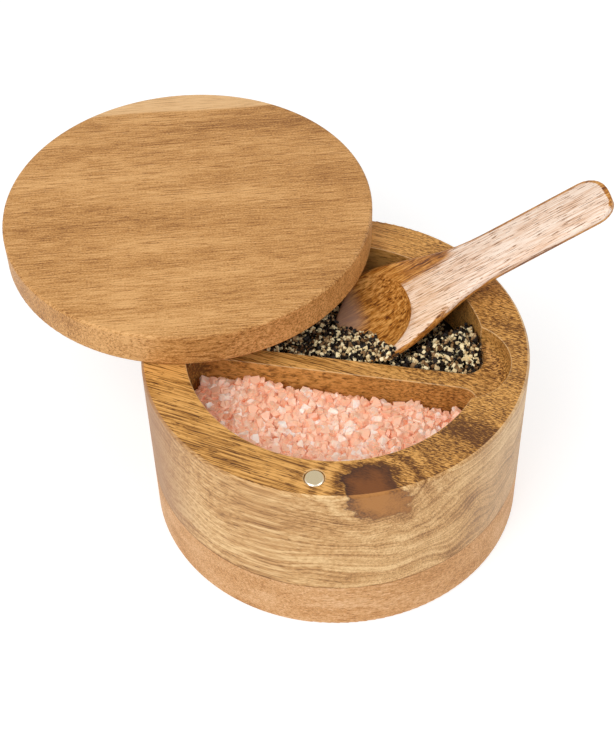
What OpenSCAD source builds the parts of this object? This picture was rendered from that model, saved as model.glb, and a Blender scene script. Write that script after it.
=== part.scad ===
// Round two-pocket salt box with a swivel lid, held shut by a pair of magnets.
// The origin is the centre of the underside, +Z is up and +X runs along the divider.

/* [Box] */
// Diameter of the round box
box_d = 127; // [110:1:155]
// Height of the block that holds the pockets
block_h = 46.5; // [38:0.5:60]
// Thickness of the board glued under the block
base_h = 20.6; // [12:0.2:26]
// Radius that softens the outer edges
edge_r = 1; // [0.5:0.1:2]

/* [Pockets] */
// Width of the rim between the pockets and the outside
rim_w = 14.5; // [12:0.5:18]
// Thickness of the divider between the pockets
divider_t = 6.4; // [5:0.2:9]
// Depth of the divider's top below the rim
divider_drop = 9.6; // [7:0.2:12]
// Radius of the corners where the divider meets the wall
corner_r = 6; // [4:0.5:8]

/* [Spoon recess] */
// Radius of the round recess at the divider's end
recess_r = 17; // [14:0.5:20]
// How far the recess reaches into the rim
recess_reach = 8.5; // [6:0.5:10]
// Radius of the dished foot of the recess
recess_foot_r = 6; // [4:0.5:8]

/* [Lid] */
// Thickness of the lid
lid_h = 12.7; // [10:0.1:16]
// How far the lid stands out past the box
lid_overhang = 0.5; // [0:0.1:1]
// Running gap between the rim and the lid
lid_gap = 0.3; // [0.2:0.1:0.6]
// Angle that the lid stands open, in degrees
lid_open = 82; // [70:1:95]

/* [Pivot and magnets] */
// Distance from the outside of the box to the pivot
pivot_inset = 6.3; // [5.5:0.1:8.5]
// Direction of the pivot seen from the centre, in degrees
pivot_angle = 93.3; // [88:0.1:98]
// Distance from the outside of the box to the magnets when shut
magnet_inset = 7.5; // [5.5:0.1:9]
// Direction of the magnets seen from the centre, in degrees
magnet_angle = 273.1; // [265:0.1:280]
// Diameter of the pivot pin
pin_d = 6; // [4:0.5:7.5]
// Length of the pin inside the block
pin_in_block = 28; // [18:1:34]
// Length of the pin inside the lid
pin_in_lid = 8.5; // [6:0.5:9.5]
// Clearance round the pin in its bores
pin_clear = 0.05; // [0.02:0.01:0.1]
// Diameter of each magnet
magnet_d = 6.35; // [5:0.05:7.5]
// Height of each magnet
magnet_h = 4; // [3:0.5:5]
// Clearance round each magnet in its bore
magnet_clear = 0.12; // [0.05:0.01:0.2]
// Chamfer on the edge of each magnet
magnet_chamfer = 0.4; // [0.2:0.1:0.6]

/* [Spoon] */
// Length of the spoon
spoon_len = 105; // [90:0.5:125]
// Width of the handle
handle_w = 18.5; // [16:0.5:22]
// Thickness of the handle
handle_t = 5.6; // [4:0.2:7]
// Radius of the handle's end corners
end_r = 7.5; // [4:0.5:7.5]
// Width of the bowl
bowl_w = 39.4; // [32:0.2:43]
// Thickness of the spoon under the middle of the bowl
bowl_t = 8.4; // [7:0.2:10]
// Depth of the hollow in the bowl
hollow_t = 5.4; // [4:0.2:6.2]
// Distance from the tip to the back of the hollow, which is open at the tip
hollow_len = 30.5; // [26:0.5:34]
// Width of the flat band beside the hollow at its widest
hollow_rim = 0.6; // [0.4:0.1:2]

/* [How the spoon lies] */
// Distance from the tip to where the handle crosses the rim
cross_x = 49; // [44:1:56]
// Slope of the spoon above level, in degrees
spoon_tilt = 24; // [20:0.5:26]
// Direction of the handle seen from above, in degrees
spoon_turn = 25.2; // [20:0.2:30]
// Gap between the side of the bowl and the divider
side_gap = 0.22; // [0.2:0.02:2]
// Gap between the handle and the rim that it lies on
seat_gap = 0.3; // [0.2:0.1:0.5]

/* [Salt and pepper] */
// Depth of the salt below the rim at its left end
salt_drop = 15.5; // [13:0.5:22]
// Fall of the salt from its left end to its right end
salt_fall = 5; // [0:0.5:7]
// Depth of the pepper below the rim at its left end
pepper_drop = 12; // [10:0.5:18]
// Fall of the pepper from its left end to its right end
pepper_fall = 7; // [0:0.5:10]
// Gap between the contents and the pocket walls
fill_clear = 0.25; // [0.2:0.05:0.5]
// Gap between the pepper and the spoon on its way out
scoop_clear = 0.7; // [0.4:0.1:1]

/* [Hidden] */
$fn = 96;
// Cutters run this far past the faces that they open
eps = 1;
box_r = box_d / 2;
pocket_r = box_r - rim_w;
lid_r = box_r + lid_overhang;
rim_z = base_h + block_h;
lid_z = rim_z + lid_gap;
divider_z = rim_z - divider_drop;
recess_x = pocket_r + recess_reach - recess_r;
pivot_r = box_r - pivot_inset;
pivot = pivot_r * [cos(pivot_angle), sin(pivot_angle)];
magnet = (box_r - magnet_inset) * [cos(magnet_angle), sin(magnet_angle)];
bore_r = pin_d / 2 + pin_clear;
// Unit vectors along and across the handle, seen from above
along = [cos(spoon_turn), sin(spoon_turn)];
across = [-sin(spoon_turn), cos(spoon_turn)];
// The spoon leaves the pepper along the divider: its slope in degrees, and the run that clears the pocket
lift_slope = 30;
lift_run = 45;

// Blend from 0 to 1 between two places, level at both ends
function ease(x, from, to) =
    let (t = min(1, max(0, (x - from) / (to - from)))) t * t * (3 - 2 * t);

// The spoon's plan, x being the distance from its tip: an oval bowl that eases into the handle
bowl_x = 18.5;
neck_x = 66;
nose_power = 1.4;
shoulder_power = 1.6;
// Thickness of the spoon's edge
lip_t = 1.2;
function nose(x) = sqrt(max(0, 1 - pow(max(0, bowl_x - x) / bowl_x, nose_power)));
function shoulder(x) = pow(1 - ease(x, bowl_x, neck_x), shoulder_power);
function end_cut(x) = let (u = x - spoon_len + end_r)
    u > 0 ? end_r - sqrt(max(0, end_r * end_r - u * u)) : 0;
function half_w(x) = (handle_w + (bowl_w - handle_w) * shoulder(x)) / 2 * nose(x) - end_cut(x);
// The underside: a squarish handle and a round belly, by the power of their sections
handle_power = 3.4;
bowl_power = 2.1;
function belly(x) = lip_t + (handle_t - lip_t + (bowl_t - handle_t) * shoulder(x)) * nose(x);
function power(x) = handle_power + (bowl_power - handle_power) * shoulder(x);
function under(x, y) = let (k = min(1, abs(y) / half_w(x)))
    lip_t + (belly(x) - lip_t) * pow(max(0, 1 - pow(k, power(x))), 1 / power(x));
// The hollow: an oval dish that runs out over the tip, with its widest place and the powers of its
// outline and of its slope
hollow_x = 9;
hollow_half = bowl_w / 2 - hollow_rim;
oval_power = 2.3;
dish_power = 0.7;
function oval_x(x) = pow(abs(x - hollow_x) / (hollow_len - hollow_x), oval_power);
function oval_y(y) = pow(abs(y) / hollow_half, oval_power);
function hollow(x, y) = hollow_t * pow(max(0, 1 - oval_x(x) - oval_y(y)), dish_power);
function hollow_side(x) = hollow_half * pow(max(0, 1 - oval_x(x)), 1 / oval_power);
// The top edge is rounded down by this much, over a band of this width
edge_drop = 0.9;
edge_band = 1.4;
function rounding(from_edge) = edge_drop * pow(max(0, 1 - from_edge / edge_band), 2);

// The handle crosses the rim where the side of the bowl just clears the divider
function reach(x) = (cross_x - x) * cos(spoon_tilt) * sin(spoon_turn) + half_w(x) * cos(spoon_turn);
cross_y = divider_t / 2 + side_gap + max([for (x = [0 : 0.5 : bowl_x]) reach(x)]);
cross_angle = asin(cross_y / pocket_r);
crossing = pocket_r * [cos(cross_angle), sin(cross_angle)];

// Height of the spoon's face over the crossing, at which the handle just clears the rim on either side
rim_scan = 20;
function offset_to(f) = pocket_r * [cos(f), sin(f)] - crossing;
function need(v) =
    let (y = v * across, x = cross_x + v * along / cos(spoon_tilt) - handle_t * tan(spoon_tilt))
    abs(y) > half_w(x) ? 0 : under(x, y) / cos(spoon_tilt) - v * along * tan(spoon_tilt);
face_h = seat_gap + max([for (f = [-rim_scan : 0.5 : rim_scan]) need(offset_to(cross_angle + f))]);

// Places across the top from its edge to its middle: close together on the rounded edge, then spread like a
// fan from the hollow's side, which is kept between two shares of the width
edge_steps = [0, 0.25, 1];
edge_share = 0.6;
fan = [0 : 15 : 75];
fan_least = 0.04;
fan_most = 0.97;
function places(x) =
    let (w = half_w(x), side = max(fan_least * w, min(fan_most * w, hollow_side(x))))
    let (edge = min(edge_band, edge_share * (w - side)))
    [each [for (step = edge_steps) w - step * edge], each [for (a = fan) side * cos(a)]];
// One ring round the spoon at x, over the top and back underneath, grown by a clearance
under_steps = 16;
function top_point(x, y, grow) =
    [x, y + grow * sign(y), grow - hollow(x, y) - rounding(half_w(x) - abs(y))];
function low_point(x, y, grow) =
    [x, y + grow * sign(y), -grow - max(under(x, y), hollow(x, y) + lip_t)];
function ring(x, grow) = let (half = places(x), n = len(half)) concat(
    [for (y = half) top_point(x, y, grow)],
    [top_point(x, 0, grow)],
    [for (i = [n - 1 : -1 : 0]) top_point(x, -half[i], grow)],
    [for (i = [1 : under_steps - 1]) low_point(x, -half_w(x) * cos(180 * i / under_steps), grow)]);
// Where the rings stand: close together round the tip and the back of the hollow, wide apart on the handle
stations = [0.05, 0.3, 0.8, 1.6, each [3 : 1.5 : hollow_x - 1],
    for (a = [0 : 6 : 84]) hollow_x + (hollow_len - hollow_x) * sin(a),
    each [hollow_len : 3 : neck_x], each [neck_x + 6 : 8 : spoon_len - end_r - 4],
    for (a = [0 : 15 : 90]) spoon_len - end_r * (1 - sin(a))];
// The rings of the spoon's head alone, for the trough that it leaves in the pepper
head_stations = [0.3, 1.6, 4, 8, 12, 17, 22, 27, 34, 42];

// Skin through equal rings, with triangles between them and a flat cap on each end
module loft(rings) {
    n = len(rings[0]);
    m = len(rings);
    polyhedron(
        points = [for (r = rings) each r],
        faces = concat(
            [[for (i = [0 : n - 1]) i]],
            [for (j = [0 : m - 2], i = [0 : n - 1]) [j * n + i, (j + 1) * n + i, j * n + (i + 1) % n]],
            [for (j = [0 : m - 2], i = [0 : n - 1])
                [j * n + (i + 1) % n, (j + 1) * n + i, (j + 1) * n + (i + 1) % n]],
            [[for (i = [n - 1 : -1 : 0]) (m - 1) * n + i]]));
}

// Puts something drawn along the spoon into the place where the spoon lies
module as_spoon_lies() {
    translate([crossing[0], crossing[1], rim_z + face_h])
        rotate([0, -spoon_tilt, spoon_turn])
            translate([-cross_x, 0, 0])
                children();
}

// Upright disc with its top and bottom outer edges rounded
module soft_disc(r, h, top_r, low_r) {
    rotate_extrude()
        union() {
            square([r - max(top_r, low_r), h]);
            translate([0, low_r]) square([r, h - low_r - top_r]);
            if (low_r > 0) translate([r - low_r, low_r]) circle(low_r);
            if (top_r > 0) translate([r - top_r, h - top_r]) circle(top_r);
        }
}

// Plan of one pocket, a half moon with rounded corners, drawn in by a clearance
module pocket_plan(inset) {
    y = divider_t / 2 + corner_r;
    x = sqrt(pow(pocket_r - corner_r, 2) - y * y);
    low = divider_t / 2 + inset;
    far = 4;
    corner = [x * low / y, low];
    intersection() {
        circle(pocket_r - inset);
        polygon([corner, far * [x, y], [0, far * pocket_r], far * [-x, y], [-corner[0], low]]);
    }
    translate([-x, low]) square([2 * x, y - low]);
    for (side = [-1, 1])
        translate([side * x, y]) circle(corner_r - inset);
}

// Round bore from z upwards
module bore(place, z, r, h) {
    translate([place[0], place[1], z]) cylinder(r = r, h = h);
}

module recess_cut() {
    translate([recess_x, 0, divider_z])
        rotate_extrude()
            union() {
                square([recess_r - recess_foot_r, divider_drop + eps]);
                translate([0, recess_foot_r])
                    square([recess_r, divider_drop + eps - recess_foot_r]);
                translate([recess_r - recess_foot_r, recess_foot_r]) circle(recess_foot_r);
            }
}

module body_block() {
    color("#b9894f")
        difference() {
            translate([0, 0, base_h]) soft_disc(box_r, block_h, edge_r, 0);
            for (turn = [0, 180])
                translate([0, 0, base_h - eps])
                    rotate(turn) linear_extrude(block_h + 2 * eps) pocket_plan(0);
            translate([0, 0, divider_z])
                linear_extrude(divider_drop + eps)
                    intersection() {
                        circle(pocket_r);
                        translate([-pocket_r, -divider_t / 2 - corner_r])
                            square([pocket_r + recess_x, divider_t + 2 * corner_r]);
                    }
            recess_cut();
            bore(pivot, rim_z - pin_in_block, bore_r, pin_in_block + eps);
            bore(magnet, rim_z - magnet_h, magnet_d / 2 + magnet_clear, magnet_h + eps);
        }
}

module base_board() {
    color("#d6a473") soft_disc(box_r, base_h, 0, edge_r);
}

// The lid as it lies when shut, turned about the pivot to where it stands open
module swung_open() {
    translate([pivot[0], pivot[1], 0])
        rotate(-lid_open)
            translate([-pivot[0], -pivot[1], 0])
                children();
}

module lid() {
    color("#c2924f")
        swung_open()
            difference() {
                translate([0, 0, lid_z]) soft_disc(lid_r, lid_h, edge_r, edge_r);
                bore(pivot, lid_z - eps, bore_r, pin_in_lid + eps);
                bore(magnet, lid_z - eps, magnet_d / 2 + magnet_clear, magnet_h + eps);
            }
}

module pivot_pin() {
    color("#9a9a9a") bore(pivot, rim_z - pin_in_block, pin_d / 2, pin_in_block + lid_gap + pin_in_lid);
}

// A magnet with one chamfered face, which looks up
module magnet_disc() {
    cylinder(r = magnet_d / 2, h = magnet_h - magnet_chamfer);
    translate([0, 0, magnet_h - magnet_chamfer])
        cylinder(r1 = magnet_d / 2, r2 = magnet_d / 2 - magnet_chamfer, h = magnet_chamfer);
}

module body_magnet() {
    color("#cfc7b6") translate([magnet[0], magnet[1], rim_z - magnet_h]) magnet_disc();
}

module lid_magnet() {
    color("#cfc7b6")
        swung_open()
            translate([magnet[0], magnet[1], lid_z + magnet_h]) mirror([0, 0, 1]) magnet_disc();
}

module spoon() {
    color("#d9a68a") as_spoon_lies() loft([for (x = stations) ring(x, 0)]);
}

// Contents of one pocket, under a face that falls from left to right
module fill(turn, drop, fall) {
    span = 2 * pocket_r;
    deep = 2 * block_h;
    intersection() {
        rotate(turn) translate([0, 0, base_h]) linear_extrude(block_h) pocket_plan(fill_clear);
        translate([-pocket_r, 0, rim_z - drop])
            rotate([0, atan2(fall, span), 0])
                translate([-span / 2, -span, -deep])
                    cube([2 * span, 2 * span, deep]);
    }
}

module salt() {
    color("#f3b9a4") fill(180, salt_drop, salt_fall);
}

module pepper() {
    color("#3a342c")
        difference() {
            fill(0, pepper_drop, pepper_fall);
            hull()
                for (run = [0, lift_run])
                    translate(run * [cos(lift_slope), 0, sin(lift_slope)])
                        as_spoon_lies()
                            for (forward = [0, scoop_clear])
                                translate([-forward, 0, 0])
                                    loft([for (x = head_stations) ring(x, scoop_clear)]);
        }
}

body_block();
base_board();
lid();
pivot_pin();
body_magnet();
lid_magnet();
spoon();
salt();
pepper();
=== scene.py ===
"""Round acacia salt box with a swivel lid, a wooden scoop, rock salt and cracked pepper."""

import math
import random

import bmesh
import bpy
import numpy as np
from bpy.props import FloatProperty, FloatVectorProperty, IntProperty, PointerProperty
from mathutils import Euler, Matrix, Vector
from mathutils.bvhtree import BVHTree


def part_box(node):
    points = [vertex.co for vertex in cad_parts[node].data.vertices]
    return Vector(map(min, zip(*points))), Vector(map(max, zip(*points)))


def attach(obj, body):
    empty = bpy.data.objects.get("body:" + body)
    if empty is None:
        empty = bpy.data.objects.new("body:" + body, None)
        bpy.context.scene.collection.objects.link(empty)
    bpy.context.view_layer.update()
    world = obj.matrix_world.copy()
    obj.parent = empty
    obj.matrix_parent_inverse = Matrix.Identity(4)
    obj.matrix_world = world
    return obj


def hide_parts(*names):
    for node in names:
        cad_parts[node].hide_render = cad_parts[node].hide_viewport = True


bl_info = {
    "name": "Salt Box",
    "version": (1, 0, 0),
    "blender": (4, 5, 0),
    "location": "3D View > Sidebar > Salt Box",
    "description": "Dresses a salt box in oiled acacia and fills it with rock salt and cracked pepper",
    "category": "Object",
}

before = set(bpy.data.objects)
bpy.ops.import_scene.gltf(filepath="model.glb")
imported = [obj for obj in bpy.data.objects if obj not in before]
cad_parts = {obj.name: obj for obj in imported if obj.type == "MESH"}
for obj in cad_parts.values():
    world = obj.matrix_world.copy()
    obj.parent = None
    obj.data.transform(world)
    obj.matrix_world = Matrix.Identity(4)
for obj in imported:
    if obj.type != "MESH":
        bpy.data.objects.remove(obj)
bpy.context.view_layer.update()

MM = 0.001
PER_M = 1000.0
UP = Vector((0, 0, 1))
DOWN = Vector((0, 0, -1))
# Heights of the rim and of the glued seam, the radius of the box and the middle of the lid
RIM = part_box("body_block")[1].z
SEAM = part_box("base_board")[1].z
BOX_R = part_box("body_block")[1].x
LID_LOW, LID_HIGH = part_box("lid")
LID_MIDDLE = (LID_LOW + LID_HIGH) / 2
# The knot in the front of the rim and the stain right of it: middle, lean and half axes
KNOT_MIDDLE = (21.5 * MM, -57 * MM, 64 * MM)
KNOT_TURN = (0, math.radians(40), math.radians(12))
KNOT_SIZE = (14.5 * MM, 9.5 * MM, 8.6 * MM)
PATCH_MIDDLE = (49 * MM, -29 * MM, RIM)
PATCH_TURN = (0, 0, math.radians(-14))
PATCH_SIZE = (15 * MM, 6 * MM, 8 * MM)
# Where the round of the handle's far corner is centred, in mm from the scoop's tip
HANDLE_CORNER = (97.5, 1.75, 0)
# The camera as fitted to the photograph: place, turns in degrees, and focal length as a share of its height
CAMERA_PLACE = (59.93 * MM, -343.72 * MM, 427.9 * MM)
CAMERA_TURNS = ((11.4, "Z"), (43.23, "X"), (-1.61, "Z"))
FOCAL_SHARE = 1532.87 / 735
SENSOR = 36
# How far the floor runs each way, in metres
FLOOR_REACH = 2.0
# Makes a Map Range node pass smoothly from one value to the other
SMOOTH = {"interpolation_type": "SMOOTHSTEP"}


# Small tools


def linear(hex_colour):
    """Turns an sRGB hex colour into the linear colour that shaders and lights take."""
    srgb = [int(hex_colour[i : i + 2], 16) / 255 for i in (1, 3, 5)]
    return [c / 12.92 if c <= 0.04045 else ((c + 0.055) / 1.055) ** 2.4 for c in srgb] + [1.0]


def add(tree, kind, inputs=None, stops=None, **settings):
    """Adds a node with its settings, inputs and colour stops; a node as an input gives its first live output.

    Map Range takes its source at 0, the range it comes from at 1 and 2 and the one it goes to at 3 and 4.
    Mix takes its amount at 0, and either numbers at 2 and 3 or colours at 6 and 7.
    """
    node = tree.nodes.new("ShaderNode" + kind)
    for name, value in settings.items():
        setattr(node, name, value)
    for name, source in (inputs or {}).items():
        if isinstance(source, bpy.types.Node):
            source = next(output for output in source.outputs if output.enabled)
        if isinstance(source, bpy.types.NodeSocket):
            tree.links.new(source, node.inputs[name])
        else:
            node.inputs[name].default_value = source
    for i, (place, colour) in enumerate((stops or {}).items()):
        element = node.color_ramp.elements[i] if i < 2 else node.color_ramp.elements.new(place)
        element.position = place
        element.color = colour
    return node


def colour_setting(name, hex_colour, description):
    """A colour that a user can change, given here as the sRGB hex value of its default."""
    return FloatVectorProperty(
        name=name, description=description, subtype="COLOR", size=4, min=0, max=1,
        default=linear(hex_colour),
    )


def start_material(name, viewport_colour):
    """An empty material and its node tree; the colour is what the viewport shows."""
    material = bpy.data.materials.new(name)
    material.use_nodes = True
    material.diffuse_color = viewport_colour
    material.node_tree.nodes.clear()
    return material, material.node_tree


def finish_material(tree, surface):
    """Ends a material with its shader, given the values and sources of its inputs."""
    add(tree, "OutputMaterial", {"Surface": add(tree, "BsdfPrincipled", surface)})


def dress(obj, material):
    """Gives a piece its one material."""
    obj.data.materials.clear()
    obj.data.materials.append(material)


def new_piece(name, shape, body, slot, material, *nodes):
    """Turns a bmesh into a piece that rides on a body and stands for CAD nodes."""
    mesh = bpy.data.meshes.new(name)
    shape.to_mesh(mesh)
    shape.free()
    obj = bpy.data.objects.new(name, mesh)
    bpy.context.scene.collection.objects.link(obj)
    dress(obj, material)
    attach(obj, body)
    if nodes:
        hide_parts(*nodes)
    return obj


def merged_copy(node):
    """A bmesh of a CAD node's shape with its loose triangles joined."""
    shape = bmesh.new()
    shape.from_mesh(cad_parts[node].data)
    bmesh.ops.remove_doubles(shape, verts=shape.verts, dist=0.002 * MM)
    return shape


def caster(node):
    """A tree that rays and distances are taken from, made of a CAD node."""
    shape = merged_copy(node)
    tree = BVHTree.FromBMesh(shape)
    shape.free()
    return tree


def height_under(tree, x, y):
    """Height of the first surface met from above, or None where the ray meets nothing."""
    hit = tree.ray_cast(Vector((x, y, 2 * RIM)), DOWN)
    return hit[0].z if hit[0] else None


# Settings


class WoodSettings(bpy.types.PropertyGroup):
    """Colours of the acacia and sizes of its grain."""

    pore_length: FloatProperty(
        name="Pore length", description="Length of the open pores along the grain",
        default=3.2 * MM, min=0, unit="LENGTH",
    )
    pore_width: FloatProperty(
        name="Pore width", description="Width of a pore, drawn coarser than the real 0.2 mm",
        default=0.36 * MM, min=0, unit="LENGTH",
    )
    block_turn: FloatProperty(
        name="Grain of the block", description="Direction of the grain in the block",
        default=math.radians(-12), subtype="ANGLE",
    )
    lid_turn: FloatProperty(
        name="Grain of the lid", description="Direction of the grain in the open lid",
        default=math.radians(15.5), subtype="ANGLE",
    )
    base_turn: FloatProperty(
        name="Grain of the base", description="Direction of the grain in the base board",
        default=math.radians(20), subtype="ANGLE",
    )
    arris: FloatProperty(
        name="Arris", description="Width of the sanded edge round the pockets",
        default=0.35 * MM, min=0, unit="LENGTH",
    )
    heart_dark: colour_setting("Heartwood dark", "#5d3510", "Darkest streaks of the heartwood")
    heart_mid: colour_setting("Heartwood", "#b77f3a", "Middle tone of the heartwood")
    heart_light: colour_setting("Heartwood light", "#e6ac60", "Lightest streaks of the heartwood")
    skin_dark: colour_setting("Outside dark", "#85592d", "Darkest bands of the turned outside")
    skin_mid: colour_setting("Outside", "#cb995f", "Middle tone of the turned outside")
    skin_light: colour_setting("Outside light", "#f2cc94", "Lightest bands of the turned outside")
    # Painted sheen: a dim grey tone on the left of the outside
    skin_left_sheen: colour_setting("Outside left", "#a87a56", "Darker tone that the outside takes at the left")
    # Painted sheen: a pale tone that stands in for light reflected off the right of the outside
    skin_right_sheen: colour_setting("Outside right", "#dfc6a8", "Pale sheen that the outside takes at the right")
    # Painted light: a paler tan that lifts the shade on the walls of the pockets
    wall: colour_setting("Pocket walls", "#b08443", "Tan that the walls of the pockets take")
    # Painted highlight: a pale tone that stands in for light caught by the sanded edges
    arris_highlight: colour_setting("Arris", "#e9c28e", "Painted highlight along the sanded edges")
    knot_light: colour_setting("Knot light", "#7a471f", "Middle of the knot on the rim")
    knot: colour_setting("Knot", "#613717", "Main tone of the knot on the rim")
    knot_dark: colour_setting("Knot dark", "#3f210f", "Edge of the knot on the rim")
    knot_side_light: colour_setting("Knot side light", "#b57b40", "Middle of the knot on the outside")
    knot_side: colour_setting("Knot side", "#a36d38", "Main tone of the knot on the outside")
    knot_side_dark: colour_setting("Knot side dark", "#5f3e2a", "Edge of the knot on the outside")
    lid_dark: colour_setting("Lid dark", "#83501d", "Darkest streaks of the lid")
    lid_mid: colour_setting("Lid", "#c38b4c", "Middle tone of the lid")
    lid_light: colour_setting("Lid light", "#e6b172", "Lightest streaks of the lid")
    sapwood: colour_setting("Sapwood", "#edc18b", "Pale strip along the lid's far edge")
    base_dark: colour_setting("Base dark", "#a36c3a", "Flecks of the base board")
    base_mid: colour_setting("Base", "#d39b60", "Middle tone of the base board")
    base_light: colour_setting("Base light", "#eec293", "Lightest streaks of the base board")


class SpoonSettings(bpy.types.PropertyGroup):
    """Colours of the scoop."""

    face: colour_setting("Face", "#e6bd9d", "Dry planed face of the spoon")
    face_dark: colour_setting("Face pores", "#8d6243", "Pores and streaks on the spoon's face")
    face_light: colour_setting("Face light", "#ffe9d6", "Lightest streaks of the spoon's face")
    # Painted sheen: a pinkish grey that stands in for light reflected in the front of the hollow
    hollow_sheen: colour_setting("Hollow sheen", "#b08c7a", "Painted sheen at the front of the hollow")
    amber: colour_setting("Oiled sides", "#b9752b", "Cut sides and hollow, which took up the oil")
    amber_dark: colour_setting("Oiled dark", "#5f2d05", "Dark streaks of the sides and the hollow")
    amber_light: colour_setting("Oiled light", "#e8ab5c", "Light streaks of the sides and the hollow")


class SaltSettings(bpy.types.PropertyGroup):
    """The coarse rock salt."""

    grain: FloatProperty(
        name="Crystal", description="Middle size of a crystal", default=3.0 * MM, min=0, unit="LENGTH",
    )
    layers: IntProperty(
        name="Layers", description="Layers of crystals over the bed", default=3, min=1, max=4,
    )
    pale: colour_setting("Pale crystals", "#fff0e4", "Clearest crystals")
    pink: colour_setting("Pink crystals", "#fdc5a6", "Middle tone of the crystals")
    deep: colour_setting("Red crystals", "#e58c62", "Crystals with the most iron")


class PepperSettings(bpy.types.PropertyGroup):
    """The cracked pepper."""

    grain: FloatProperty(
        name="Grain", description="Middle size of a cracked grain", default=1.12 * MM, min=0, unit="LENGTH",
    )
    husk: colour_setting("Husk", "#160b04", "Black husk")
    brown: colour_setting("Brown bits", "#6b4723", "Broken husk seen from inside")
    tan: colour_setting("Tan bits", "#a5835a", "Skin under the husk")
    cream: colour_setting("Cream bits", "#f3dba6", "Cracked middle of the peppercorn")
    pale: colour_setting("Pale bits", "#fff0c4", "Palest splinters of the middle")


class StageSettings(bpy.types.PropertyGroup):
    """Light and camera."""

    ambient: FloatProperty(
        name="Ambient", description="Level light from all round", default=0.55, min=0, max=1,
    )
    key: FloatProperty(
        name="Key lamp", description="Power of the large soft lamp", default=9.0, min=0, unit="POWER",
    )
    fill: FloatProperty(
        name="Fill lamp", description="Power of the lamp on the right", default=2.5, min=0, unit="POWER",
    )
    floor_shade: FloatProperty(
        name="Shadow", description="How dark the shadow on the white floor may be",
        default=0.6, min=0, max=1, subtype="FACTOR",
    )


class SaltBoxSettings(bpy.types.PropertyGroup):
    """All settings of the salt box."""

    wood: PointerProperty(type=WoodSettings)
    spoon: PointerProperty(type=SpoonSettings)
    salt: PointerProperty(type=SaltSettings)
    pepper: PointerProperty(type=PepperSettings)
    stage: PointerProperty(type=StageSettings)


# Grain


def in_mm(tree, centre=(0, 0, 0), turn=(0, 0, 0)):
    """Object coordinates in millimetres from a centre, turned back by the grain's direction."""
    spot = add(tree, "TexCoord").outputs["Object"]
    return add(
        tree, "Mapping", {"Vector": spot, "Location": centre, "Rotation": turn, "Scale": (MM, MM, MM)},
        vector_type="TEXTURE",
    )


def oval(tree, centre, turn, half_axes):
    """Place in a leaning oval, counted in half axes, and the distance from its middle."""
    spot = add(tree, "TexCoord").outputs["Object"]
    place = add(
        tree, "Mapping", {"Vector": spot, "Location": centre, "Rotation": turn, "Scale": half_axes},
        vector_type="TEXTURE",
    )
    return place, add(tree, "VectorMath", {0: place}, operation="LENGTH")


def streaks(tree, place, size, detail=3.0, shift=0.0):
    """Noise drawn out to a size in millimetres along, across and through the grain."""
    drawn = add(
        tree, "Mapping",
        {"Vector": place, "Location": (shift, shift, shift), "Scale": [1 / length for length in size]},
    )
    return add(tree, "TexNoise", {"Vector": drawn, "Scale": 1.0, "Detail": detail, "Roughness": 0.6})


def pores(tree, place, size, cover=0.15, shift=0.0):
    """Short dark dashes along the grain, from 0 to 1; the cover is about the share they take."""
    least = 0.5 + 0.11 * (0.52 - cover) / 0.34
    dashes = streaks(tree, place, size, 1.0, shift)
    return add(tree, "MapRange", {0: dashes, 1: least, 2: least + 0.05}, **SMOOTH)


def layered(tree, base, *layers):
    """Adds layers to a base tone; each is a source, its middle value and its weight."""
    total = base - sum(middle * weight for _, middle, weight in layers)
    for source, _, weight in layers:
        total = add(tree, "Math", {0: source, 1: weight, 2: total}, operation="MULTIPLY_ADD")
    return total


def zone(tree, *limits):
    """The product of smooth ramps; each has a source, its value where it gives 0 and where it gives 1."""
    ramps = [add(tree, "MapRange", {0: source, 1: at_0, 2: at_1}, **SMOOTH) for source, at_0, at_1 in limits]
    share = ramps[0]
    for ramp in ramps[1:]:
        share = add(tree, "Math", {0: share, 1: ramp}, operation="MULTIPLY")
    return share


def distance_from_axis(tree, place):
    """Distance in millimetres from the upright line through the centre of a place."""
    flat = add(tree, "Mapping", {"Vector": place, "Scale": (1, 1, 0)})
    return add(tree, "VectorMath", {0: flat}, operation="LENGTH")


def seam_shade(tree, height):
    """1 on the thin dark line between the block and the base board: a dark glue joint with a painted shadow
    in the seam.
    """
    away = add(tree, "Math", {0: height, 1: SEAM * PER_M}, operation="SUBTRACT")
    away = add(tree, "Math", {0: away}, operation="ABSOLUTE")
    return add(tree, "MapRange", {0: away, 1: 0.35, 2: 0.1}, **SMOOTH)


def finish_wood(tree, colour, fibre, speck, rough=0.5, pore_depth=0.8):
    """Oiled wood: its colour, a satin surface and the relief of its fibres and open pores."""
    relief = layered(tree, 0.5, (fibre, 0.5, 1.0), (speck, 0.0, -pore_depth))
    bump = add(tree, "Bump", {"Height": relief, "Strength": 0.35, "Distance": 0.15 * MM})
    finish_material(
        tree, {"Base Color": colour, "Roughness": rough, "Specular IOR Level": 0.3, "Normal": bump}
    )


# Materials


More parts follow.
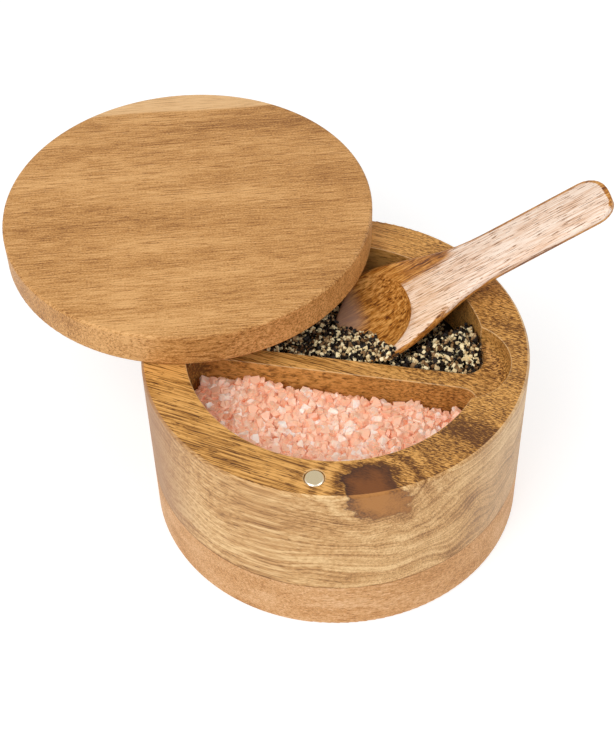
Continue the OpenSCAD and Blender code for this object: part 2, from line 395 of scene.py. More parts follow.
def block_material(wood):
    """Oiled acacia heartwood, turned: golden streaks on the cut top, a paler outside and one dark knot."""
    material, tree = start_material("Oiled acacia heartwood", wood.heart_mid)
    place = in_mm(tree, turn=(0, 0, wood.block_turn))
    plain = in_mm(tree)
    right, back, height = add(tree, "SeparateXYZ", {0: plain}).outputs
    skin_from = BOX_R * PER_M - 0.95
    outside = add(
        tree, "MapRange", {0: distance_from_axis(tree, plain), 1: skin_from, 2: skin_from + 0.2}, **SMOOTH
    )

    # The knot leans into the block and has uneven sides
    knot, reach = oval(tree, KNOT_MIDDLE, KNOT_TURN, KNOT_SIZE)
    knot_side = add(tree, "SeparateXYZ", {0: knot}).outputs["X"]
    wander = streaks(tree, place, (7, 5, 5), 4.0, 3.0)
    reach = layered(tree, 0.0, (reach, 0.0, 1.0), (wander, 0.5, 1.3))
    in_knot = add(tree, "MapRange", {0: reach, 1: 0.97, 2: 0.84}, **SMOOTH)
    round_knot = add(tree, "MapRange", {0: reach, 1: 2.8, 2: 0.9}, **SMOOTH)

    # Growth layers lie nearly level, wave gently and dip round the knot
    wave = streaks(tree, place, (90, 45, 60), 2.0, 7.0)
    level = layered(tree, 0.0, (height, 0.0, 1.0), (wave, 0.5, 34.0), (round_knot, 0.0, 7.0))
    growth = add(tree, "CombineXYZ", {"X": right, "Y": back, "Z": level})
    bands = streaks(tree, growth, (120, 120, 6.5), 3.0)
    fine_bands = streaks(tree, growth, (60, 60, 1.1), 3.0, 5.0)
    rings = layered(tree, 0.0, (reach, 0.0, 11.0), (wander, 0.5, -5.5))
    rings = add(tree, "Math", {0: rings}, operation="SINE")
    rings = add(tree, "Math", {0: rings, 1: round_knot}, operation="MULTIPLY")

    # Fibres run long on the left and dive into the cut face on the right
    dive = add(tree, "MapRange", {0: right, 1: -8.0, 2: 34.0}, **SMOOTH)
    long_fibre = streaks(tree, place, (22, 0.65, 1.2), 5.0)
    short_fibre = streaks(tree, place, (1.7, 0.42, 0.55), 4.0, 2.0)
    fibre = add(tree, "Mix", {0: dive, 2: long_fibre, 3: short_fibre})
    long, wide = wood.pore_length * PER_M, wood.pore_width * PER_M
    long_pores = pores(tree, place, (long, wide, wide), 0.2)
    short_pores = pores(tree, place, (0.4 * long, wide, wide), 0.22)
    speck = add(tree, "Mix", {0: dive, 2: long_pores, 3: short_pores})
    hairs = pores(tree, place, (14, 0.45, 1.0), 0.12, 5.0)
    broad = streaks(tree, place, (48, 6, 9), 3.0, 6.3)

    # The walls of the pockets take a paler tan, painted light that lifts the shade inside them, and their
    # narrow left ends take painted shade
    facing_up = add(tree, "SeparateXYZ", {0: add(tree, "TexCoord").outputs["Normal"]}).outputs["Z"]
    walls = add(tree, "MapRange", {0: facing_up, 1: 0.7, 2: 0.3}, **SMOOTH)
    # Painted shade: the walls of the pockets are darkened at their narrow left ends
    left_end_shade = zone(tree, (facing_up, 0.7, 0.3), (right, -40.0, -46.0))
    near = add(tree, "MapRange", {0: back, 1: -30.0, 2: -50.0}, **SMOOTH)

    # One stained patch on the rim, right of the knot
    _, patch = oval(tree, PATCH_MIDDLE, PATCH_TURN, PATCH_SIZE)
    patch = layered(tree, 0.0, (patch, 0.0, 1.0), (wander, 0.5, 2.2))
    patch = add(tree, "MapRange", {0: patch, 1: 1.25, 2: 0.4}, **SMOOTH)

    tone = layered(
        tree, 0.54, (broad, 0.5, 1.1), (fibre, 0.5, 4.2), (speck, 0.2, -0.6), (hairs, 0.12, -0.5),
        (dive, 0.3, -0.24), (patch, 0.0, -0.5), (near, 0.0, -0.12), (fine_bands, 0.5, 0.6),
        (rings, 0.0, 0.4), (walls, 0.0, 0.04), (left_end_shade, 0.0, -0.7),
    )
    heart = add(tree, "ValToRGB", {0: tone}, {0: wood.heart_dark, 0.5: wood.heart_mid, 1: wood.heart_light})
    # Painted light: the walls of the pockets are mixed towards the paler tan
    cover = add(tree, "MapRange", {0: fibre, 3: 0.2, 4: 0.35}, **SMOOTH)
    cover = add(tree, "Math", {0: walls, 1: cover}, operation="MULTIPLY")
    heart = add(tree, "Mix", {0: cover, 6: heart, 7: wood.wall}, data_type="RGBA")

    # The turned outside takes a painted grey sheen that dims its left and a painted pale sheen on its right
    skin_tone = layered(
        tree, 0.55, (bands, 0.5, 1.4), (fine_bands, 0.5, 1.6), (fibre, 0.5, 1.6), (speck, 0.2, -0.3),
        (broad, 0.5, 1.0), (rings, 0.0, 0.14), (seam_shade(tree, height), 0.0, -0.5),
    )
    skin = add(tree, "ValToRGB", {0: skin_tone}, {0: wood.skin_dark, 0.5: wood.skin_mid, 1: wood.skin_light})
    # Painted grey sheen that dims the left of the outside
    left_sheen = add(tree, "MapRange", {0: right, 1: -30.0, 2: -56.0, 4: 0.8}, **SMOOTH)
    skin = add(tree, "Mix", {0: left_sheen, 6: skin, 7: wood.skin_left_sheen}, data_type="RGBA")
    # Painted pale sheen on the right of the outside
    right_sheen = add(tree, "MapRange", {0: right, 1: 44.0, 2: 60.0, 4: 0.25}, **SMOOTH)
    skin = add(tree, "Mix", {0: right_sheen, 6: skin, 7: wood.skin_right_sheen}, data_type="RGBA")
    colour = add(tree, "Mix", {0: outside, 6: heart, 7: skin}, data_type="RGBA")

    # The knot is dark on top, most of all at its far edge, and paler where it meets the outside
    depth = layered(tree, 0.5, (reach, 0.68, 1.7), (knot_side, 0.0, -0.25), (short_fibre, 0.5, 1.6))
    on_top = add(tree, "ValToRGB", {0: depth}, {0: wood.knot_light, 0.5: wood.knot, 1: wood.knot_dark})
    on_side = add(
        tree, "ValToRGB", {0: depth}, {0: wood.knot_side_light, 0.5: wood.knot_side, 1: wood.knot_side_dark}
    )
    knot_colour = add(tree, "Mix", {0: outside, 6: on_top, 7: on_side}, data_type="RGBA")
    colour = add(tree, "Mix", {0: in_knot, 6: colour, 7: knot_colour}, data_type="RGBA")

    # The sanded arris is painted paler, a painted highlight along the edges of the pockets
    arris = add(tree, "Attribute", attribute_name="arris").outputs["Fac"]
    arris_highlight = add(tree, "MapRange", {0: fibre, 1: 0.3, 2: 0.5, 3: 0.3, 4: 0.75}, **SMOOTH)
    arris_highlight = add(tree, "Math", {0: arris, 1: arris_highlight}, operation="MULTIPLY")
    colour = add(tree, "Mix", {0: arris_highlight, 6: colour, 7: wood.arris_highlight}, data_type="RGBA")
    finish_wood(tree, colour, fibre, speck)
    return material


def lid_material(wood):
    """Oiled acacia board: straight streaks, a dark band and a pale strip of sapwood along one edge."""
    material, tree = start_material("Oiled acacia board", wood.lid_mid)
    place = in_mm(tree, (LID_MIDDLE.x, LID_MIDDLE.y, LID_HIGH.z), (0, 0, wood.lid_turn))
    across = add(tree, "SeparateXYZ", {0: place}).outputs["Y"]
    wave = streaks(tree, place, (70, 26, 30), 2.0, 1.0)
    line = layered(tree, 0.0, (across, 0.0, 1.0), (wave, 0.5, 7.0))
    broad = streaks(tree, place, (75, 15, 16), 2.0, 2.0)
    bands = streaks(tree, add(tree, "CombineXYZ", {"Y": line}), (1, 3.4, 1), 3.0, 6.0)
    fibre = streaks(tree, place, (9, 0.45, 0.8), 5.0)
    grit = streaks(tree, place, (0.7, 0.35, 0.35), 2.0, 4.0)
    # The hairlines are densest towards the far side
    dense = layered(tree, 0.0, (across, 0.0, 0.012), (broad, 0.5, 4.0))
    dense = add(tree, "MapRange", {0: dense, 1: -0.7, 2: 0.5, 3: 0.3}, **SMOOTH)
    hairs = pores(tree, place, (20, 0.4, 1.2), 0.13, 8.0)
    hairs = add(tree, "Math", {0: hairs, 1: dense}, operation="MULTIPLY")
    long, wide = wood.pore_length * PER_M, wood.pore_width * PER_M
    speck = pores(tree, place, (long, wide, wide), 0.16)
    dark_band = zone(tree, (line, 33.0, 44.0), (line, 53.5, 50.0))
    tone = layered(
        tree, 0.55, (broad, 0.5, 1.2), (bands, 0.5, 0.5), (hairs, 0.06, -0.65), (fibre, 0.5, 2.1),
        (grit, 0.5, 1.5), (speck, 0.16, -0.32), (dark_band, 0.0, -0.13),
    )
    colour = add(tree, "ValToRGB", {0: tone}, {0: wood.lid_dark, 0.5: wood.lid_mid, 1: wood.lid_light})
    strip = add(tree, "MapRange", {0: line, 1: 53.0, 2: 54.5}, **SMOOTH)
    grain = layered(tree, 0.0, (fibre, 0.5, 1.0), (hairs, 0.0, -0.2))
    grain = add(tree, "MapRange", {0: grain, 1: -0.2, 2: 0.15, 3: 0.5}, **SMOOTH)
    strip = add(tree, "Math", {0: strip, 1: grain}, operation="MULTIPLY")
    colour = add(tree, "Mix", {0: strip, 6: colour, 7: wood.sapwood}, data_type="RGBA")
    finish_wood(tree, colour, fibre, speck)
    return material


def base_material(wood):
    """Oiled acacia sapwood: even pinkish tan with fine short flecks."""
    material, tree = start_material("Oiled acacia sapwood", wood.base_mid)
    place = in_mm(tree, turn=(0, 0, wood.base_turn))
    height = add(tree, "SeparateXYZ", {0: in_mm(tree)}).outputs["Z"]
    broad = streaks(tree, place, (60, 16, 8), 2.0, 9.0)
    fibre = streaks(tree, place, (4, 0.6, 0.6), 4.0)
    grit = streaks(tree, place, (0.7, 0.4, 0.4), 2.0, 4.0)
    speck = pores(tree, place, (2.2, 0.34, 0.34), 0.2, 4.0)
    tone = layered(
        tree, 0.55, (broad, 0.5, 1.1), (fibre, 0.5, 1.7), (grit, 0.5, 1.2), (speck, 0.2, -0.35),
        (seam_shade(tree, height), 0.0, -0.45),
    )
    colour = add(tree, "ValToRGB", {0: tone}, {0: wood.base_dark, 0.5: wood.base_mid, 1: wood.base_light})
    finish_wood(tree, colour, fibre, speck, rough=0.55)
    return material


def spoon_material(spoon, wood, tip, turn):
    """Acacia again: a dry pale face full of open pores, and sides and hollow that took up the oil."""
    material, tree = start_material("Acacia scoop", spoon.face)
    place = in_mm(tree, tip, turn)
    along, across, depth = add(tree, "SeparateXYZ", {0: place}).outputs
    fibre = streaks(tree, place, (12, 0.5, 0.7), 5.0)
    broad = streaks(tree, place, (30, 4, 5), 3.0, 3.0)
    speck = pores(tree, place, (4.5, wood.pore_width * PER_M, 0.4), 0.22)
    short = streaks(tree, place, (3.2, 0.6, 0.8), 4.0, 2.0)
    rings = streaks(tree, place, (26, 1.6, 0.45), 3.0, 6.0)
    face_tone = layered(tree, 0.62, (broad, 0.5, 1.3), (fibre, 0.5, 3.0), (speck, 0.22, -0.75))
    dry = add(tree, "ValToRGB", {0: face_tone}, {0: spoon.face_dark, 0.5: spoon.face, 1: spoon.face_light})
    side_tone = layered(
        tree, 0.5, (broad, 0.5, 1.4), (short, 0.5, 2.4), (rings, 0.5, 2.0), (speck, 0.2, -0.3)
    )
    oiled = add(
        tree, "ValToRGB", {0: side_tone}, {0: spoon.amber_dark, 0.5: spoon.amber, 1: spoon.amber_light}
    )
    # The front of the hollow takes a painted pinkish grey sheen
    hollow_sheen = zone(tree, (along, 16.0, 9.0), (across, -2.0, 5.0))
    hollow_sheen = add(tree, "Math", {0: hollow_sheen, 1: 0.75}, operation="MULTIPLY")
    oiled = add(tree, "Mix", {0: hollow_sheen, 6: oiled, 7: spoon.hollow_sheen}, data_type="RGBA")
    # The far shoulder of the bowl kept its oil, and the pale wood runs on over the handle's near edge
    shoulder = zone(tree, (across, 2.0, 9.0), (along, 58.0, 40.0))
    near_side = zone(tree, (across, -6.0, -7.5), (along, 30.0, 44.0), (depth, -3.0, -2.3))
    # A line of oil runs inside the far edge and the rounded end of the handle
    corner = add(tree, "VectorMath", {0: place, 1: HANDLE_CORNER}, operation="SUBTRACT")
    corner = add(tree, "VectorMath", {0: corner, 1: (0, 0, 0)}, operation="MAXIMUM")
    line = zone(tree, (distance_from_axis(tree, corner), 5.5, 6.2), (along, 52.0, 66.0))
    face = layered(
        tree, 0.0, (add(tree, "Attribute", attribute_name="face").outputs["Fac"], 0.0, 1.0),
        (fibre, 0.5, 0.9), (shoulder, 0.0, -0.75), (near_side, 0.0, 1.0), (line, 0.0, -0.6),
    )
    face = add(tree, "MapRange", {0: face, 1: 0.5, 2: 0.9}, **SMOOTH)
    # The pale face yellows towards the hollow
    yellow = add(tree, "MapRange", {0: along, 1: 52.0, 2: 34.0, 4: 0.22}, **SMOOTH)
    dry = add(tree, "Mix", {0: yellow, 6: dry, 7: spoon.amber_light}, data_type="RGBA")
    colour = add(tree, "Mix", {0: face, 6: oiled, 7: dry}, data_type="RGBA")
    finish_wood(tree, colour, fibre, speck, rough=0.4, pore_depth=1.0)
    return material


def pin_material():
    """Ground stainless steel: even grey metal with fine marks round the pin."""
    dark, grey, bright = linear("#8f8e8a"), linear("#b9b8b4"), linear("#d4d3cf")
    material, tree = start_material("Ground stainless steel", grey)
    marks = streaks(tree, in_mm(tree), (6, 6, 0.08), 2.0)
    colour = add(tree, "ValToRGB", {0: marks}, {0: dark, 0.5: grey, 1: bright})
    rough = add(tree, "MapRange", {0: marks, 1: 0.3, 2: 0.7, 3: 0.28, 4: 0.42}, **SMOOTH)
    finish_material(tree, {"Base Color": colour, "Roughness": rough, "Metallic": 1.0})
    return material


def magnet_material(name, centre):
    """Nickel plating: a satin champagne face and a painted highlight on the bevelled rim round it."""
    dull, champagne, pale, bright = linear("#b7a688"), linear("#c8b795"), linear("#d6c7a8"), linear("#e6ddcb")
    material, tree = start_material(name, linear("#d8cfc0"))
    place = in_mm(tree, centre)
    rub = streaks(tree, place, (0.5, 0.12, 0.5), 3.0)
    face = add(tree, "ValToRGB", {0: rub}, {0: dull, 0.5: champagne, 1: pale})
    radius = distance_from_axis(tree, place)
    # Painted highlight: the bevelled rim of the magnet is painted brighter than its face
    rim_highlight = add(tree, "MapRange", {0: radius, 1: 2.7, 2: 2.85}, **SMOOTH)
    colour = add(tree, "Mix", {0: rim_highlight, 6: face, 7: bright}, data_type="RGBA")
    rough = add(tree, "MapRange", {0: radius, 1: 2.7, 2: 2.85, 3: 0.38, 4: 0.22}, **SMOOTH)
    finish_material(tree, {"Base Color": colour, "Roughness": rough, "Metallic": 1.0})
    return material


def salt_material(salt):
    """Himalayan rock salt: cloudy pink crystals that let some light through."""
    material, tree = start_material("Coarse rock salt", salt.pink)
    tint = add(tree, "Attribute", attribute_name="tint").outputs["Fac"]
    cloud = streaks(tree, in_mm(tree), (1.6, 1.6, 1.6), 3.0)
    tone = layered(tree, 0.0, (tint, 0.0, 1.0), (cloud, 0.5, 0.6))
    stops = {0: salt.deep, 1 / 3: salt.pink, 2 / 3: salt.pink, 1: salt.pale}
    colour = add(tree, "ValToRGB", {0: tone}, stops)
    finish_material(tree, {
        "Base Color": colour, "Roughness": 0.3, "IOR": 1.54,
        "Subsurface Weight": 0.4, "Subsurface Radius": (1.0, 0.6, 0.45), "Subsurface Scale": 2.0 * MM,
        # Light that the crystals pass on to each other, which a few bounces leave out
        "Emission Color": colour, "Emission Strength": 0.07,
    })
    return material


def pepper_material(pepper):
    """Cracked pepper: black wrinkled husks and cream splinters from inside the corns."""
    material, tree = start_material("Cracked pepper", pepper.brown)
    tint = add(tree, "Attribute", attribute_name="tint").outputs["Fac"]
    patch = streaks(tree, in_mm(tree), (0.7, 0.7, 0.7), 2.0)
    tone = layered(tree, 0.0, (tint, 0.0, 1.0), (patch, 0.5, 0.3))
    stops = {0: pepper.husk, 0.45: pepper.husk, 0.52: pepper.brown, 0.66: pepper.tan, 0.74: pepper.cream,
             1: pepper.pale}
    colour = add(tree, "ValToRGB", {0: tone}, stops)
    finish_material(tree, {"Base Color": colour, "Roughness": 0.6, "Specular IOR Level": 0.3})
    return material


# Grains and crystals


def cracked_lumps(seed, count, cuts, squash):
    """Small meshes one metre across: cubes with corners cut off by random planes."""
    draw = random.Random(seed)
    lumps = []
    for i in range(count):
        shape = bmesh.new()
        bmesh.ops.create_cube(shape, size=1.0)
        for _ in range(cuts):
            normal = Vector((draw.gauss(0, 1), draw.gauss(0, 1), draw.gauss(0, 1))).normalized()
            bmesh.ops.bisect_plane(
                shape, geom=shape.verts[:] + shape.edges[:] + shape.faces[:],
                plane_co=normal * draw.uniform(0.32, 0.5), plane_no=normal, clear_outer=True,
            )
            bmesh.ops.holes_fill(shape, edges=shape.edges)
        bmesh.ops.scale(shape, vec=(1, draw.uniform(squash, 1), draw.uniform(squash, 1)), verts=shape.verts)
        bmesh.ops.recalc_face_normals(shape, faces=shape.faces)
        mesh = bpy.data.meshes.new(f"lump_{i}")
        shape.to_mesh(mesh)
        shape.free()
        mesh.attributes.new("tint", "FLOAT", "POINT")
        lumps.append(mesh)
    return lumps


def scatter(lumps, spots, draw, size, spread, tint_of):
    """One bmesh with a turned and tinted lump on each spot."""
    shape = bmesh.new()
    for spot in spots:
        lump = draw.choice(lumps).copy()
        scale = size * draw.uniform(1 - spread, 1 + spread)
        turn = Euler([draw.uniform(0, math.tau) for _ in range(3)]).to_matrix().to_4x4()
        lump.transform(Matrix.Translation(spot) @ turn @ Matrix.Scale(scale, 4))
        tint = tint_of()
        lump.attributes["tint"].data.foreach_set("value", [tint] * len(lump.vertices))
        shape.from_mesh(lump)
        bpy.data.meshes.remove(lump)
    for lump in lumps:
        bpy.data.meshes.remove(lump)
    return shape


def grid_spots(low, high, step, draw):
    """Jittered places on a grid between two corners, seen from above."""
    x = low.x
    while x < high.x:
        y = low.y
        while y < high.y:
            yield x + draw.uniform(-0.4, 0.4) * step, y + draw.uniform(-0.4, 0.4) * step
            y += step
        x += step


def inside(tree, x, y, room):
    """The surface's height at a place that has room to its sides, or None."""
    around = [(room, 0), (-room, 0), (0, room), (0, -room)]
    if any(height_under(tree, x + dx, y + dy) is None for dx, dy in around):
        return None
    return height_under(tree, x, y)


def lowered_bed(node, drop):
    """A copy of a filling with its top face let down, to close the view between its grains."""
    shape = merged_copy(node)
    top_from = min(v.co.z for v in shape.verts) + 5 * MM
    for v in shape.verts:
        if v.co.z > top_from:
            v.co.z -= drop
    return shape


# Operators


class SALTBOX_OT_stage(bpy.types.Operator):
    """Sets up the white floor, the level light and the camera"""

    bl_idname = "saltbox.stage"
    bl_label = "Stage"

    def execute(self, context):
        stage = context.scene.salt_box.stage
        scene = context.scene
        scene.view_settings.view_transform = "Standard"

        world = bpy.data.worlds.new("Level studio light")
        world.use_nodes = True
        tree = world.node_tree
        tree.nodes.clear()
        level = add(tree, "MapRange", {0: self.seen(tree), 3: stage.ambient, 4: 1.0})
        back = add(tree, "Background", {"Color": (1, 1, 1, 1), "Strength": level})
        add(tree, "OutputWorld", {"Surface": back})
        scene.world = world

        shape = bmesh.new()
        bmesh.ops.create_grid(shape, x_segments=1, y_segments=1, size=FLOOR_REACH)
        mesh = bpy.data.meshes.new("floor")
        shape.to_mesh(mesh)
        shape.free()
        floor = bpy.data.objects.new("floor", mesh)
        scene.collection.objects.link(floor)
        dress(floor, self.floor_material(stage))

        self.lamp("key_lamp", stage.key, size=0.9, place=Vector((-0.45, -0.75, 1.0)))
        self.lamp("fill_lamp", stage.fill, size=0.7, place=Vector((0.9, -0.35, 0.7)))

        camera = bpy.data.cameras.new("camera")
        camera.sensor_width = SENSOR
        camera.lens = FOCAL_SHARE * SENSOR
        eye = bpy.data.objects.new("camera", camera)
        pose = Matrix.Translation(CAMERA_PLACE)
        for angle, axis in CAMERA_TURNS:
            pose @= Matrix.Rotation(math.radians(angle), 4, axis)
        eye.matrix_world = pose
        scene.collection.objects.link(eye)
        scene.camera = eye
        return {"FINISHED"}

    def seen(self, tree):
        """1 for the rays that meet a white background: from the camera, in gloss and through glass."""
        rays = add(tree, "LightPath").outputs
        seen = add(tree, "Math", {0: rays["Is Camera Ray"], 1: rays["Is Glossy Ray"]}, operation="MAXIMUM")
        return add(tree, "Math", {0: seen, 1: rays["Is Transmission Ray"]}, operation="MAXIMUM")

    def floor_material(self, stage):
        """Matt white paper, which the camera sees as pure white outside the object's shadow."""
        material, tree = start_material("Matt white paper", (1, 1, 1, 1))
        seen = self.seen(tree)
        paper, shaded = (0.8, 0.8, 0.8, 1), [stage.floor_shade] * 3 + [1]
        # The glow makes up for the light that the shaded paper doesn't give back
        glow = add(tree, "MapRange", {0: seen, 4: 1.09 - 0.85 * stage.floor_shade})
        finish_material(tree, {
            "Base Color": add(tree, "Mix", {0: seen, 6: paper, 7: shaded}, data_type="RGBA"),
            "Roughness": 1.0, "Specular IOR Level": 0.0,
            "Emission Color": (1, 1, 1, 1), "Emission Strength": glow,
        })
        return material

    def lamp(self, name, power, size, place):
        """A square soft lamp that looks at the box."""
        data = bpy.data.lights.new(name, "AREA")
        data.energy = power
        data.size = size
        lamp = bpy.data.objects.new(name, data)
        lamp.location = place
        lamp.rotation_euler = (place - Vector((0, 0, RIM))).to_track_quat("Z", "Y").to_euler()
        bpy.context.scene.collection.objects.link(lamp)


class SALTBOX_OT_block(bpy.types.Operator):
    """Makes the block with its softened arrises"""

    bl_idname = "saltbox.block"
    bl_label = "Block"

    def execute(self, context):
        wood = context.scene.salt_box.wood
        shape = merged_copy("body_block")
        bmesh.ops.dissolve_limit(
            shape, angle_limit=math.radians(0.3), verts=shape.verts, edges=shape.edges
        )
        for face in shape.faces:
            face.smooth = True
        self.soften(shape, wood.arris)
        block = new_piece("salt_box_block", shape, "box", "block_wood", block_material(wood), "body_block")
        block.data.set_sharp_from_angle(angle=math.radians(50))
        even = block.modifiers.new("Even normals", "WEIGHTED_NORMAL")
        even.keep_sharp = True
        return {"FINISHED"}

    def soften(self, shape, width):
        """Bevels the sharp edges and marks the middle of each bevel as arris."""
        arris = shape.verts.layers.float.new("arris")
        sharp = [
            e for e in shape.edges
            if len(e.link_faces) == 2 and e.calc_face_angle() > math.radians(40)
            and all(v.co.xy.length < 0.95 * BOX_R and v.co.z > SEAM for v in e.verts)
        ]
        made = bmesh.ops.bevel(
            shape, geom=sharp, offset=width, offset_type="OFFSET", segments=2, profile=0.5,
            affect="EDGES", clamp_overlap=False, material=-1,
        )
        strips = set(made["faces"])
        for v in made["verts"]:
            v[arris] = float(all(f in strips for f in v.link_faces))


class SALTBOX_OT_boards(bpy.types.Operator):
    """Dresses the lid and the base board"""

    bl_idname = "saltbox.boards"
    bl_label = "Lid and base"

    def execute(self, context):
        wood = context.scene.salt_box.wood
        dress(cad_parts["lid"], lid_material(wood))
        dress(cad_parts["base_board"], base_material(wood))
        return {"FINISHED"}


class SALTBOX_OT_metal(bpy.types.Operator):
    """Dresses the pivot pin and the two magnets"""

    bl_idname = "saltbox.metal"
    bl_label = "Pin and magnets"

    def execute(self, context):
        dress(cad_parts["pivot_pin"], pin_material())
        for node in ("body_magnet", "lid_magnet"):
            low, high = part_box(node)
            dress(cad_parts[node], magnet_material(f"Nickel plating {node}", (low + high) / 2))
        return {"FINISHED"}


def spoon_axes(shape):
    """The spoon's tip on the plane of its flat face, and the turn of its axes."""
    flat = max((f for f in shape.faces if f.normal.z > 0.8), key=lambda f: f.calc_area())
    normal = flat.normal.copy()
    across = UP.cross(normal).normalized()
    across *= math.copysign(1, across.y)
    along = across.cross(normal)
    side = [v.co.dot(across) for v in shape.verts]
    start = min(v.co.dot(along) for v in shape.verts)
    tip = along * start + across * (min(side) + max(side)) / 2 + normal * flat.verts[0].co.dot(normal)
    return tip, Matrix((along, across, normal)).transposed()


def mark_face(shape, tip, axes):
    """Marks with 1 the planed face, and lets it fade over the rounded edge; sides and hollow get 0."""
    face = shape.verts.layers.float.new("face")
    bowl_length, edge_round = 34 * MM, 0.8 * MM
    for v in shape.verts:
        along, across, depth = axes.transposed() @ (v.co - tip)
        along_lean, across_lean, _ = axes.transposed() @ v.normal
        in_hollow = along_lean < -0.12 or across_lean * math.copysign(1, across) < -0.1
        if depth > -0.02 * MM:
            v[face] = 1.0
        elif not in_hollow and along < bowl_length and across < 0:
            v[face] = min(1.0, max(0.0, 1.4 + depth / edge_round))


class SALTBOX_OT_spoon(bpy.types.Operator):
    """Makes the scoop, with its planed face marked off from its sides and its hollow"""

    bl_idname = "saltbox.spoon"
    bl_label = "Scoop"

    def execute(self, context):
        settings = context.scene.salt_box
        shape = merged_copy("spoon")
        tip, axes = spoon_axes(shape)
        mark_face(shape, tip, axes)
        for f in shape.faces:
            f.smooth = True
        material = spoon_material(settings.spoon, settings.wood, tip, axes.to_euler())
        spoon = new_piece("scoop", shape, "spoon", "spoon_wood", material, "spoon")
        spoon.data.set_sharp_from_angle(angle=math.radians(40))
        return {"FINISHED"}


class SALTBOX_OT_salt(bpy.types.Operator):
    """Fills the near pocket with coarse rock salt"""

    bl_idname = "saltbox.salt"
    bl_label = "Rock salt"

    def execute(self, context):
        salt = context.scene.salt_box.salt
        material = salt_material(salt)
        draw = random.Random(11)
        tree = caster("salt")
        low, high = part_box("salt")
        step, room = 0.78 * salt.grain, 0.55 * salt.grain
        spots = []
        for layer in range(salt.layers):
            for x, y in grid_spots(low, high, step, draw):
                z = inside(tree, x, y, room)
                if z is not None:
                    z -= left_dip(x)
                    lift = draw.uniform(-0.2, 0.25) - 0.35 * layer
                    spots.append(Vector((x, y, z + lift * salt.grain)))
        shape = scatter(
            cracked_lumps(5, 14, 7, 0.75), spots, draw, salt.grain, 0.28, lambda: draw.betavariate(2.4, 1.7)
        )
        new_piece("salt_crystals", shape, "box", "salt_crystals", material, "salt")
        bed = lowered_bed("salt", 1.3 * salt.grain)
        top_from = high.z - 12 * MM
        for v in bed.verts:
            if v.co.z > top_from:
                v.co.z -= left_dip(v.co.x)
        new_piece("salt_bed", bed, "box", "salt_crystals", material, "salt")
        return {"FINISHED"}


def left_dip(x):
    """How much lower the salt lies at the left end of its pocket."""
    return 3.5 * MM * min(1.0, max(0.0, (-30 * MM - x) / (12 * MM)))


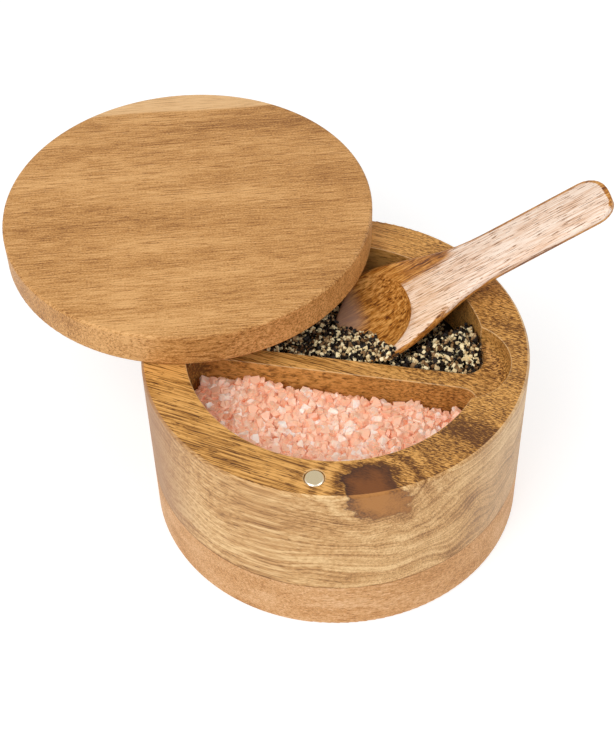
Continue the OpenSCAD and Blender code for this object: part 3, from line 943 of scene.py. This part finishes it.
class SALTBOX_OT_pepper(bpy.types.Operator):
    """Fills the far pocket and the front of the scoop with cracked pepper"""

    bl_idname = "saltbox.pepper"
    bl_label = "Cracked pepper"

    # How far from the tip the scoop is covered, in mm, at places across it from the near edge
    PEPPER_LINE = ((-20, -12.5, -4.8, -0.6, 1.5, 5.8, 9, 20), (19.5, 17, 14, 11.5, 8.3, 4.8, 2.3, 0))

    def execute(self, context):
        pepper = context.scene.salt_box.pepper
        material = pepper_material(pepper)
        draw = random.Random(23)
        bed_tree, spoon_tree = caster("pepper"), caster("spoon")
        low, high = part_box("pepper")
        wall = low.y
        spoon_shape = merged_copy("spoon")
        tip, axes = spoon_axes(spoon_shape)
        spoon_shape.free()
        to_spoon = (Matrix.Translation(tip) @ axes.to_4x4()).inverted()
        size = pepper.grain
        lying, scooped = [], []
        for x, y in grid_spots(low, high, size, draw):
            ground = inside(bed_tree, x, y, 0.5 * size)
            if ground is None:
                continue
            ground -= corner_dip(x, y)
            for layer in range(2):
                lying.append(Vector((x, y, ground + (draw.uniform(-0.3, 0.3) - 0.6 * layer) * size)))
            if height_under(spoon_tree, x, y) is None:
                heap = self.heap_height(x, y, wall, to_spoon)
                self.pile(lying, x, y, ground + 0.4 * size, heap, size, draw)
        low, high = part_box("spoon")
        for x, y in grid_spots(low, high, 0.85 * size, draw):
            surface = height_under(spoon_tree, x, y)
            if surface is None or surface > RIM:
                continue
            along, across, _ = to_spoon @ Vector((x, y, surface))
            covered = np.interp(across * PER_M, *self.PEPPER_LINE) * MM - along
            if covered + draw.uniform(-0.7, 0.7) * MM > 0:
                heap = max(surface + 0.4 * size, self.heap_height(x, y, wall, to_spoon))
                self.pile(scooped, x, y, surface, heap, size, draw)
        scooped += self.clinging(spoon_tree, low, high, to_spoon, size, draw)
        lying = [spot for spot in lying if spoon_tree.find_nearest(spot)[3] > 0.62 * size]
        for name, body, spots, nodes in (
            ("pepper_grains", "box", lying, ["pepper"]), ("scooped_pepper", "spoon", scooped, [])
        ):
            shape = scatter(cracked_lumps(9, 12, 2, 0.4), spots, draw, 1.1 * size, 0.4, draw.random)
            new_piece(name, shape, body, "pepper_grains", material, *nodes)
        bed = lowered_bed("pepper", size)
        top_from = low.z - size
        for v in bed.verts:
            if v.co.z > top_from:
                v.co.z -= corner_dip(v.co.x, v.co.y)
        new_piece("pepper_bed", bed, "box", "pepper_grains", material, "pepper")
        return {"FINISHED"}

    def clinging(self, spoon_tree, low, high, to_spoon, size, draw):
        """Grains against the near side of the scoop, where it stands in the heap."""
        spots = []
        for x, z in grid_spots(Vector((low.x, low.z, 0)), Vector((high.x, RIM, 0)), 0.8 * size, draw):
            hit, normal = spoon_tree.ray_cast(Vector((x, low.y - size, z)), Vector((0, 1, 0)))[:2]
            if hit is None or hit.z < RIM - 9 * MM:
                continue
            along, across, _ = to_spoon @ hit
            if across < -8 * MM and along + draw.uniform(-0.7, 0.7) * MM < self.PEPPER_LINE[1][0] * MM:
                spots.append(hit + 0.3 * size * normal)
        return spots

    def heap_height(self, x, y, wall, to_spoon):
        """Height of the pepper that is heaped over the front of the scoop, falling away from it."""
        along, across, _ = to_spoon @ Vector((x, y, RIM - 10 * MM))
        over_scoop, at_divider = 54.9 * MM, 57.0 * MM
        beyond_tip = max(0.0, -2 * MM - along)
        height = over_scoop - 0.3 * across + 0.05 * (along - 8 * MM) - 0.35 * beyond_tip
        return min(height, at_divider + 0.55 * (y - wall))

    def pile(self, spots, x, y, bottom, top, size, draw):
        """Grains one above the other from the bottom up to the top of the heap."""
        z = bottom + 0.25 * size
        while z < top:
            jitter = Vector((draw.uniform(-0.2, 0.2), draw.uniform(-0.2, 0.2), 0)) * size
            spots.append(Vector((x, y, z)) + jitter)
            z += 0.75 * size


def corner_dip(x, y):
    """How much lower the pepper lies along the wall at the right end of its pocket."""
    to_wall = min(1.0, max(0.0, (math.hypot(x, y) - 40 * MM) / (8.5 * MM)))
    to_right = min(1.0, max(0.0, (x - 26 * MM) / (10 * MM)))
    return 3.4 * MM * to_wall * to_right


class SALTBOX_PT_panel(bpy.types.Panel):
    """Steps that make the salt box"""

    bl_label = "Salt Box"
    bl_idname = "SALTBOX_PT_panel"
    bl_space_type = "VIEW_3D"
    bl_region_type = "UI"
    bl_category = "Salt Box"

    def draw(self, context):
        for step in STEPS:
            self.layout.operator(step.bl_idname)
        for group in ("wood", "spoon", "salt", "pepper", "stage"):
            settings = getattr(context.scene.salt_box, group)
            box = self.layout.box()
            box.label(text=group.capitalize())
            for name in settings.bl_rna.properties.keys():
                if name not in ("rna_type", "name"):
                    box.prop(settings, name)


STEPS = (
    SALTBOX_OT_stage, SALTBOX_OT_block, SALTBOX_OT_boards, SALTBOX_OT_metal, SALTBOX_OT_spoon,
    SALTBOX_OT_salt, SALTBOX_OT_pepper,
)
CLASSES = (
    WoodSettings, SpoonSettings, SaltSettings, PepperSettings, StageSettings, SaltBoxSettings,
    *STEPS, SALTBOX_PT_panel,
)


def register():
    for cls in CLASSES:
        bpy.utils.register_class(cls)
    bpy.types.Scene.salt_box = PointerProperty(type=SaltBoxSettings)


def unregister():
    del bpy.types.Scene.salt_box
    for cls in reversed(CLASSES):
        bpy.utils.unregister_class(cls)


def main():
    register()
    bpy.ops.saltbox.stage()
    bpy.ops.saltbox.block()
    bpy.ops.saltbox.boards()
    bpy.ops.saltbox.metal()
    bpy.ops.saltbox.spoon()
    bpy.ops.saltbox.salt()
    bpy.ops.saltbox.pepper()


if __name__ == "__main__":
    main()
